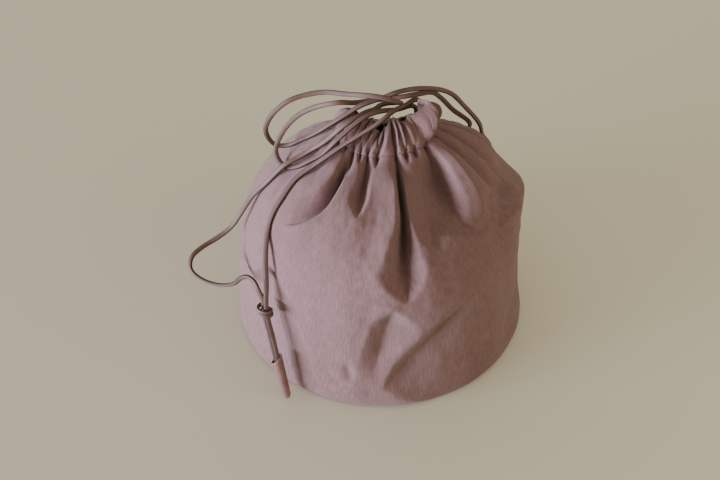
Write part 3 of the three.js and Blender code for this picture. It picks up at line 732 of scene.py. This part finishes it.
# a point of the casing: share of its depth inwards, and share of its height
def casingPoint(angle, inwards, height):
    stitch = wallPoint(angle, np.ones_like(angle))
    rim = rimPoint(angle)
    inward = unit(np.stack([-rim[..., 0], -casingPlan["squash"] * rim[..., 1], 0 * angle], axis=-1))
    for dip in dips:
        bump = gaussian(angle, dip["angle"], dip["spread"])
        rim = rim + (stitch - rim) * (dip["share"] * bump)[..., None]
    off = turnFrom(angle, casingPlan["leanTo"])
    lean, sharpness = casingPlan["lean"]
    sway, waves = casingPlan["sway"]
    lean = math.radians(lean) * np.tanh(sharpness * off) * np.cos(0.5 * off) ** 2 + sway * np.sin(waves * angle)
    low = ribDepth(angle, True)
    at, spread, share = casingPlan["calm"]
    calm = 1 - share * gaussian(angle, at, spread, power=4)
    high = ribDepth(angle + lean * height, True, casingPlan["pleatPower"], casingPlan["crest"]) * calm
    for crease in creases:
        off = np.abs(turnFrom(angle, crease["angle"])) / math.radians(crease["spread"])
        high = high + crease["depth"] * np.clip(1 - off, 0, 1) ** wallPlan["valleyPower"]
    foot = stitch + unit(rim - stitch) * casingPlan["gap"]
    fold = low + (high * casingPlan["rimPleat"] - low) * ease(height * casingPlan["pleatRise"])
    deep = np.maximum(casingPlan["depth"] - casingPlan["thinning"] * fold, casingPlan["thinnest"])[..., None]
    swell = casingPlan["bulge"] * math.sin(math.pi * min(height, 1.0) ** casingPlan["bulgePower"])
    straight = foot + (rim - foot) * height
    outer = straight + inward * ((fold - low * (1 - height))[..., None] - swell)
    return outer + inward * deep * inwards


def casingProfile():
    h, wall = casingPlan["height"], casingPlan["wall"]
    outerRows, rimRows, innerRows = casingPlan["rows"]
    rows = [(0, x) for x in np.linspace(0, h, outerRows)]
    for t in np.linspace(0, np.pi, rimRows)[1:-1]:
        rows.append((0.5 * (1 - np.cos(t)), h + (1.0 - h) * np.sin(t) ** casingPlan["bulgePower"]))
    rows += [(1, x) for x in np.linspace(h, 0, innerRows)]
    rows += [(1 - wall, 0), (1 - wall, h), (wall, h), (wall, 0)]
    return rows


def makeCasing():
    steps = casingPlan["around"]
    half = math.radians(casingPlan["outletHalf"])
    start = math.radians(casingPlan["outlet"]) + half
    angle = np.linspace(start, start + 2 * np.pi - 2 * half, steps + 1)
    profile = casingProfile()
    count = len(profile)
    grid = np.stack([casingPoint(angle, a, h) for a, h in profile], axis=1)
    length = lengthsAlong(np.array(profile + profile[:1]) * (casingPlan["depth"], casingPlan["hem"]))
    faces = gridQuads(steps + 1, count, order=-1)
    along = wallPlan["flat"][0] * np.arange(steps + 1) / steps
    uv = [(x, y) for y, x in gridUv([length] * (steps + 1), along, -1)]
    faces.append(tuple(range(count)))
    faces.append(tuple(range(steps * count + count - 1, steps * count - 1, -1)))
    uv += [(0, x) for x in length[:count]] * 2
    return meshPiece("hemCasing", grid.reshape(-1, 3), faces, uv)


# stitches just above the stitch line, one short thread after another
stitchPlan = {
    "pitch": 0.0029, "length": 0.0019, "thread": 0.00052, "height": 0.055,
    "blunt": 0.06, "raised": 0.2, "sides": 7, "rings": 6, "samples": 4000,
    "outletRoom": 2,  # degrees
    "ends": (0.001, 0.004),  # lengths left free at both ends of the row
}


def makeStitches():
    half = math.radians(casingPlan["outletHalf"] + stitchPlan["outletRoom"])
    start = math.radians(casingPlan["outlet"]) + half
    angle = np.linspace(start, start + 2 * np.pi - 2 * half, stitchPlan["samples"])
    line = casingPoint(angle, 0, stitchPlan["height"])
    along = lengthsAlong(line)
    points, faces, uv = [], [], []
    sides, rings = stitchPlan["sides"], stitchPlan["rings"]
    turn = fullTurn(sides)
    first, last = stitchPlan["ends"]
    for begin in np.arange(first, along[-1] - last, stitchPlan["pitch"]):
        t = np.linspace(0, 1, rings)
        path = pointsAt(begin + stitchPlan["length"] * t, along, line)
        forward = unit(path[-1] - path[0])
        side = unit(np.cross(forward, (0, 0, 1)))
        over = np.cross(side, forward)
        start = len(points)
        for place, x in zip(path, t):
            r = 0.5 * stitchPlan["thread"] * math.sqrt(max(stitchPlan["blunt"], 1 - (2 * x - 1) ** 4))
            raised = place + side * stitchPlan["raised"] * stitchPlan["thread"] * math.sin(math.pi * x)
            points += (raised + r * (np.cos(turn)[:, None] * side + np.sin(turn)[:, None] * over)).tolist()
        faces += gridQuads(rings, sides, start, -1)
        faces.append(tuple(start + j for j in range(sides)))
        faces.append(tuple(start + (rings - 1) * sides + j for j in range(sides - 1, -1, -1)))
    for face in faces:
        uv += [(points[n][0], points[n][2]) for n in face]
    return meshPiece("hemStitches", points, faces, uv)


pouchWall = makeWall()
print("pouch: wall made,", len(pouchWall.data.polygons), "faces")
casing = makeCasing()
print("pouch: casing made,", len(casing.data.polygons), "faces")
hemStitches = makeStitches()
print("pouch: stitches made,", len(hemStitches.data.polygons), "faces")

# base: a flat round panel with a soft edge
basePlan = {"thickness": 0.0014, "gap": 0.0003, "rings": 14, "around": 120}


def makeBase():
    around, rings = basePlan["around"], basePlan["rings"]
    angle = fullTurn(around)
    edge = wallPoint(angle, np.zeros(around), wallPlan["cloth"])
    edge = edge[:, :2] * (1 - basePlan["gap"] / np.hypot(edge[:, 0], edge[:, 1]))[:, None]
    points, faces, uv = [], [], []
    shares = np.linspace(1.0, 0.0, rings)[:-1]
    for z, order in ((basePlan["thickness"], 1), (0.0, -1)):
        start = len(points)
        for share in shares:
            points += [(x * share, y * share, z) for x, y in edge]
        points.append((0, 0, z))
        centre = len(points) - 1
        faces += gridQuads(len(shares), around, start, order)
        last = start + (len(shares) - 1) * around
        for j in range(around):
            faces.append((last + j, last + (j + 1) % around, centre)[::order])
    low = len(points) // 2
    for j in range(around):
        k = (j + 1) % around
        faces.append((low + j, low + k, k, j))
    for face in faces:
        uv += [(points[v][0], points[v][1]) for v in face]
    return meshPiece("basePanel", points, faces, uv)


basePanel = makeBase()
print("pouch: base made")

# slide knot: the same cord wound round both sides of the drawstring
knotPlan = {
    "top": (-0.06615, -0.0714, 0.0675),
    "foot": (-0.06595, -0.0731, 0.0615),
    "above": 0.0026,  # first band below the top
    "pitch": 0.0023,
    "radius": 0.0035,
    "broad": 0.0023,
    "thick": 0.0015,
    "turns": 1.893,
    "start": 0.9,
    "lift": 0.0010,  # the free end stands up by this much
    "liftOver": 0.16,
    "bump": (0.0005, 0.06, 0.12),  # where the first turn crosses: height, place and spread
    "sway": (0.0002, 9),
    "settle": 0.0004,
    "rings": 150,
    "sides": 20,
}


def frameOf(top, foot):
    axis = unit(np.array(foot) - np.array(top))
    left = unit(np.cross((0, 1, 0), axis))
    return axis, left, np.cross(axis, left)


def makeKnot():
    axis, left, back = frameOf(knotPlan["top"], knotPlan["foot"])
    t = np.linspace(0, 1, knotPlan["rings"])
    turn = -2 * np.pi * knotPlan["turns"] * t + knotPlan["start"]
    height, place, spread = knotPlan["bump"]
    sway, waves = knotPlan["sway"]
    radius = knotPlan["radius"] + height * np.exp(-((t - place) / spread) ** 2) + sway * np.sin(waves * t)
    drop = knotPlan["above"] + knotPlan["pitch"] * knotPlan["turns"] * t
    drop = drop - knotPlan["lift"] * np.exp(-(t / knotPlan["liftOver"]) ** 2)
    outward = np.cos(turn)[:, None] * left + np.sin(turn)[:, None] * back
    line = np.array(knotPlan["top"]) + drop[:, None] * axis + radius[:, None] * outward
    roll = rollAlong(line, outward, knotPlan["settle"], [(0, 0), (1, 0)])
    section = flatSection(knotPlan["broad"], knotPlan["thick"])
    return tubePiece("slideKnot", line, knotPlan["sides"], section, roll)


slideKnot = makeKnot()
print("pouch: slide knot made")

# cord end: a strip of leather rolled round both cord ends, tapered to its tip, its mouth cut on a slant
tagPlan = {
    "top": (-0.0611, -0.0799, 0.0316),
    "tip": (-0.0560, -0.0840, 0.0010),
    "length": 0.0305,
    "topRadius": 0.0034,
    "tipRadius": 0.0022,
    "socketRadius": 0.0028,
    "socketDepth": 0.0012,
    "slant": 0.0022,
    "slantOver": 0.014,
    "knob": 0.0009,
    "knobAt": (-0.35, 0.42),  # radians around and their spread
    "knobAlong": (0.0009, 0.0011),
    "lap": 0.08,
    "lapAt": (-0.74, 0.16),  # radians of the strip's edge and their spread
    "rim": 0.0004,
    "point": 0.0001,  # radius left open at both ends
    "mouthRows": (0.0006, 0.0011, 0.0016),
    "taper": (0.0006, 0.003, 0.0003, 1.3, 22),  # first row, length left for the tip, flare, power, rows
    "tipRows": (0.0016, 0.0006, 0.0002),
    "around": 48,
    "girth": 0.021,
}


def makeTag():
    axis, left, back = frameOf(tagPlan["top"], tagPlan["tip"])
    r, e, length = tagPlan["topRadius"], tagPlan["tipRadius"], tagPlan["length"]
    socket, deep = tagPlan["socketRadius"], tagPlan["socketDepth"]
    rim, point = tagPlan["rim"], tagPlan["point"]
    first, tipLength, flare, power, taperRows = tagPlan["taper"]
    shoulder, bend, past = tagPlan["tipRows"]
    rows = [(point, deep), (socket * 0.9, deep), (socket, deep - rim), (socket, rim), (socket + 0.5 * rim, 0.0)]
    inside = len(rows)
    rows += [(r - point, point)] + [(r, along) for along in tagPlan["mouthRows"]]
    for x in np.linspace(0.06, 1, taperRows):
        rows.append((r + (e + flare - r) * x**power, first + (length - tipLength) * x))
    rows += [(e + point, length - shoulder), (e * 0.85, length - bend)]
    rows += [(e * 0.5, length), (point, length + past)]
    angle = fullTurn(tagPlan["around"])
    points = []
    origin = np.array(tagPlan["top"])
    knobPlace, knobReach = tagPlan["knobAlong"]
    for k, (radius, along) in enumerate(rows):
        outside = k >= inside
        lap = 1 + outside * tagPlan["lap"] * gaussian(angle, *np.degrees(tagPlan["lapAt"]))
        bead = gaussian(angle, *np.degrees(tagPlan["knobAt"])) * np.exp(-((along - knobPlace) / knobReach) ** 2)
        size = radius * lap + outside * tagPlan["knob"] * bead
        slant = tagPlan["slant"] * np.cos(angle) * (1 - ease(along / tagPlan["slantOver"]))
        ring = size[:, None] * (np.cos(angle)[:, None] * left + np.sin(angle)[:, None] * back)
        points += (origin + (along + slant)[:, None] * axis + ring).tolist()
    count = tagPlan["around"]
    faces = gridQuads(len(rows), count)
    uv = gridUv([tagPlan["girth"] * np.arange(count + 1) / count] * len(rows), [along for _, along in rows])
    faces.append(tuple(range(count - 1, -1, -1)))
    faces.append(tuple(range((len(rows) - 1) * count, len(rows) * count)))
    uv += [(0, 0)] * (2 * count)
    return meshPiece("cordEndTag", points, faces, uv)


cordEndTag = makeTag()
print("pouch: cord end made")


# shader node helpers: a value that is a socket gets linked, any other is set
def feed(tree, socket, value):
    if hasattr(value, "node"):
        tree.links.new(value, socket)
    else:
        socket.default_value = value


def addNode(tree, kind, values=None, **settings):
    node = tree.nodes.new("ShaderNode" + kind)
    for key, value in settings.items():
        setattr(node, key, value)
    for key, value in (values or {}).items():
        feed(tree, node.inputs[key], value)
    return node


def mathNode(tree, operation, *values):
    return addNode(tree, "Math", dict(enumerate(values)), operation=operation).outputs[0]


def stretch(tree, value, low, high):
    return addNode(tree, "MapRange", {"Value": value, "From Min": low, "From Max": high}).outputs["Result"]


def mixColors(tree, factor, a, b):
    node = addNode(tree, "Mix", data_type="RGBA")
    for value, name in ((factor, "Factor"), (a, "A"), (b, "B")):
        feed(tree, [s for s in node.inputs if s.name == name and s.enabled][0], value)
    return [s for s in node.outputs if s.enabled][0]


def newGroup(name, inputs, outputs):
    tree = bpy.data.node_groups.new(name, "ShaderNodeTree")
    for way, labels in (("INPUT", inputs), ("OUTPUT", outputs)):
        for label in labels:
            kind = "NodeSocketVector" if label == "Vector" else "NodeSocketFloat"
            tree.interface.new_socket(name=label, in_out=way, socket_type=kind)
    return tree, tree.nodes.new("NodeGroupInput").outputs, tree.nodes.new("NodeGroupOutput").inputs


weavePlan = {"detail": 3.0, "roughness": 0.6, "weftShare": 0.14, "weftSeed": 7.3, "threadHeight": 0.12}


# slubby plain weave on uv metres: streaks along the warp, fewer along the weft, and the threads
def makeSlubWeave():
    inputs = ["Vector", "Warp Scale", "Slub Length", "Threads"]
    tree, given, result = newGroup("slubWeave", inputs, ["Tone", "Height"])
    place = addNode(tree, "SeparateXYZ", {"Vector": given["Vector"]}).outputs
    alongScale = mathNode(tree, "DIVIDE", given["Warp Scale"], given["Slub Length"])

    def streaks(across, along, seed):
        joined = addNode(tree, "CombineXYZ", {
            "X": mathNode(tree, "MULTIPLY", place[across], given["Warp Scale"]),
            "Y": mathNode(tree, "MULTIPLY", place[along], alongScale),
            "Z": seed,
        })
        return addNode(tree, "TexNoise", {
            "Vector": joined.outputs[0], "Scale": 1.0,
            "Detail": weavePlan["detail"], "Roughness": weavePlan["roughness"],
        }).outputs["Fac"]

    def thread(name):
        turns = mathNode(tree, "MULTIPLY", place[name], given["Threads"])
        return mathNode(tree, "SINE", mathNode(tree, "MULTIPLY", turns, 2 * math.pi))

    warp, weft = streaks("X", "Y", 0.0), streaks("Y", "X", weavePlan["weftSeed"])
    mixed = addNode(tree, "Mix", {"Factor": weavePlan["weftShare"], "A": warp, "B": weft}, data_type="FLOAT")
    tone = mixed.outputs["Result"]
    cross = mathNode(tree, "MULTIPLY", thread("X"), thread("Y"))
    feed(tree, result["Tone"], tone)
    feed(tree, result["Height"], mathNode(tree, "MULTIPLY_ADD", cross, weavePlan["threadHeight"], tone))
    return tree


mottlePlan = {"Detail": 4.0, "Roughness": 0.55}


# broad soft unevenness of a dye or a hide
def makeSoftMottle():
    tree, given, result = newGroup("softMottle", ["Scale", "Contrast"], ["Mask"])
    place = addNode(tree, "TexCoord").outputs["Object"]
    noise = addNode(tree, "TexNoise", {"Vector": place, "Scale": given["Scale"], **mottlePlan})
    centred = mathNode(tree, "SUBTRACT", noise.outputs["Fac"], 0.5)
    wider = mathNode(tree, "MULTIPLY_ADD", centred, given["Contrast"], 0.5)
    feed(tree, result["Mask"], addNode(tree, "Clamp", {"Value": wider}).outputs[0])
    return tree


slubWeave, softMottle = makeSlubWeave(), makeSoftMottle()


def newMaterial(name):
    material = bpy.data.materials.new(name)
    material.use_nodes = True
    tree = material.node_tree
    return material, tree, tree.nodes["Principled BSDF"]


# tone of the threads and height of the weave
def placeWeave(tree, uv, plan):
    weave = addNode(tree, "Group", node_tree=slubWeave)
    for name, key in (("Warp Scale", "slubs"), ("Slub Length", "slubLength"), ("Threads", "threads")):
        weave.inputs[name].default_value = plan[key]
    feed(tree, weave.inputs["Vector"], uv)
    return stretch(tree, weave.outputs["Tone"], *plan["toneRange"]), weave.outputs["Height"]


def placeMottle(tree, plan):
    scale, contrast = plan["mottle"]
    values = {"Scale": scale, "Contrast": contrast}
    return addNode(tree, "Group", values, node_tree=softMottle).outputs["Mask"]


def finishSurface(tree, shader, plan, color, height):
    strength, distance = plan["bump"]
    bump = addNode(tree, "Bump", {"Height": height, "Strength": strength, "Distance": distance})
    feed(tree, shader.inputs["Normal"], bump.outputs["Normal"])
    feed(tree, shader.inputs["Base Color"], color)
    shader.inputs["Roughness"].default_value = plan["roughness"]
    shader.inputs["Specular IOR Level"].default_value = plan["specular"]


# mauve cloth for the wall, base and casing
clothPlan = {
    "light": (0.226, 0.129, 0.132, 1),
    "dark": (0.140, 0.073, 0.071, 1),
    "faded": (0.236, 0.142, 0.150, 1),
    "roughness": 0.88,
    "specular": 0.25,
    "sheen": 0.12,
    "sheenRoughness": 0.5,
    "slubs": 950,  # slubs to the metre
    "slubLength": 5,  # times their width
    "threads": 1600,
    "toneRange": (0.34, 0.66),
    "mottle": (26, 1.1),  # scale and contrast
    "fading": 0.5,
    "bump": (0.45, 0.0004),  # strength and distance
}


def makeCloth():
    material, tree, shader = newMaterial("mauveCloth")
    uv = addNode(tree, "UVMap", uv_map="cloth").outputs["UV"]
    tone, height = placeWeave(tree, uv, clothPlan)
    threads = mixColors(tree, tone, clothPlan["dark"], clothPlan["light"])
    fading = mathNode(tree, "MULTIPLY", placeMottle(tree, clothPlan), clothPlan["fading"])
    finishSurface(tree, shader, clothPlan, mixColors(tree, fading, threads, clothPlan["faded"]), height)
    shader.inputs["Sheen Weight"].default_value = clothPlan["sheen"]
    shader.inputs["Sheen Roughness"].default_value = clothPlan["sheenRoughness"]
    return material


# flat waxed cord: broad sides lighter, both narrow edges darkened by painted shade
cordFinish = {
    "light": (0.150, 0.086, 0.078, 1),
    "dark": (0.078, 0.041, 0.035, 1),
    # edge: painted shade along the cord's narrow edges
    "edge": (0.038, 0.019, 0.016, 1),
    "roughness": 0.55,
    "specular": 0.35,
    "slubs": 2200,
    "slubLength": 60,
    "threads": 2200,
    "toneRange": (0.3, 0.7),
    "streakShare": 0.6,
    "mottle": (70, 1.4),
    "edgeShadeRange": (0.84, 0.97),  # how far round the painted edge shade begins and is full
    "bump": (0.4, 0.0003),
}


def makeCordFinish():
    material, tree, shader = newMaterial("waxedCord")
    uv = addNode(tree, "UVMap", uv_map="cloth").outputs["UV"]
    tone, height = placeWeave(tree, uv, cordFinish)
    blend = mathNode(tree, "MULTIPLY_ADD", tone, cordFinish["streakShare"], placeMottle(tree, cordFinish))
    broad = mixColors(tree, blend, cordFinish["dark"], cordFinish["light"])
    # the narrow edges get the dark edge colour: painted shade
    across = addNode(tree, "SeparateXYZ", {"Vector": uv}).outputs["X"]
    turn = mathNode(tree, "MULTIPLY", across, 2 * math.pi / cordPlan["girth"])
    sideways = mathNode(tree, "ABSOLUTE", mathNode(tree, "COSINE", turn))
    edge = stretch(tree, sideways, *cordFinish["edgeShadeRange"])
    finishSurface(tree, shader, cordFinish, mixColors(tree, edge, broad, cordFinish["edge"]), height)
    return material


# rolled leather of the cord end
leatherPlan = {
    "light": (0.265, 0.150, 0.142, 1),
    "dark": (0.150, 0.072, 0.062, 1),
    "roughness": 0.5,
    "specular": 0.5,
    "mottle": (160, 1.6),
    "grain": 1600.0,
    "bump": (0.35, 0.0002),
}


def makeLeather():
    material, tree, shader = newMaterial("rolledLeather")
    place = addNode(tree, "TexCoord").outputs["Object"]
    values = {"Vector": place, "Scale": leatherPlan["grain"]}
    grain = addNode(tree, "TexVoronoi", values, feature="DISTANCE_TO_EDGE").outputs["Distance"]
    color = mixColors(tree, placeMottle(tree, leatherPlan), leatherPlan["dark"], leatherPlan["light"])
    finishSurface(tree, shader, leatherPlan, color, grain)
    return material


mauveCloth, waxedCord, rolledLeather = makeCloth(), makeCordFinish(), makeLeather()
print("pouch: materials made")

# pieces, the solids they stand for, and their finishes
dressing = [
    (pouchWall, "pouch_wall", "cloth", mauveCloth),
    (basePanel, "base_panel", "cloth", mauveCloth),
    (casing, "casing", "cloth", mauveCloth),
    (drawstringLong, "drawstring_long", "cord", waxedCord),
    (drawstringShort, "drawstring_short", "cord", waxedCord),
    (slideKnot, "slide_knot", "cord", waxedCord),
    (cordEndTag, "cord_end_tag", "leather", rolledLeather),
    (hemStitches, None, "cloth", mauveCloth),
]
for piece, node, slotName, material in dressing:
    piece.data.materials.append(material)
    if node:
        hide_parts(node)
    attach(piece, "root")

# floor and light
stagePlan = {
    "floor": (0.81, 0.785, 0.675, 1),
    "roughness": 0.6,
    "specular": 0.2,
    "reach": 3,
    "world": (1.0, 0.905, 0.665, 1),
    "worldStrength": 0.60,
}
floorMesh = bpy.data.meshes.new("floor")
reach = stagePlan["reach"]
corners = [(-reach, -reach, 0), (reach, -reach, 0), (reach, reach, 0), (-reach, reach, 0)]
floorMesh.from_pydata(corners, [], [(0, 1, 2, 3)])
floor = bpy.data.objects.new("floor", floorMesh)
scene.collection.objects.link(floor)
floorFinish, _, floorShader = newMaterial("paleFloor")
floorShader.inputs["Base Color"].default_value = stagePlan["floor"]
floorShader.inputs["Roughness"].default_value = stagePlan["roughness"]
floorShader.inputs["Specular IOR Level"].default_value = stagePlan["specular"]
floorMesh.materials.append(floorFinish)

world = bpy.data.worlds.new("studio")
scene.world = world
world.use_nodes = True
sky = world.node_tree.nodes["Background"]
sky.inputs["Color"].default_value = stagePlan["world"]
sky.inputs["Strength"].default_value = stagePlan["worldStrength"]

lights = columnsOf(
    ("name", "place", "aim", "power", "size", "color"),  # size: width and height
    [
        ("window", (-4.12, -1.82, 0.15), (0, 0, 0.07), 690, (2.7, 0.43), (0.79, 0.85, 1.0)),
        ("fill", (1.1, -0.7, 0.4), (0, 0, 0.06), 4.5, (1.2, 1.2), (1.0, 0.8, 0.58)),
    ],
)
for plan in lights:
    lamp = bpy.data.lights.new(plan["name"], "AREA")
    lamp.energy = plan["power"]
    lamp.shape = "RECTANGLE"
    lamp.size, lamp.size_y = plan["size"]
    lamp.color = plan["color"]
    lampObject = bpy.data.objects.new(plan["name"], lamp)
    lampObject.location = plan["place"]
    view = Vector(plan["aim"]) - Vector(plan["place"])
    lampObject.rotation_euler = view.to_track_quat("-Z", "Y").to_euler()
    scene.collection.objects.link(lampObject)
print("pouch: floor and lights set")
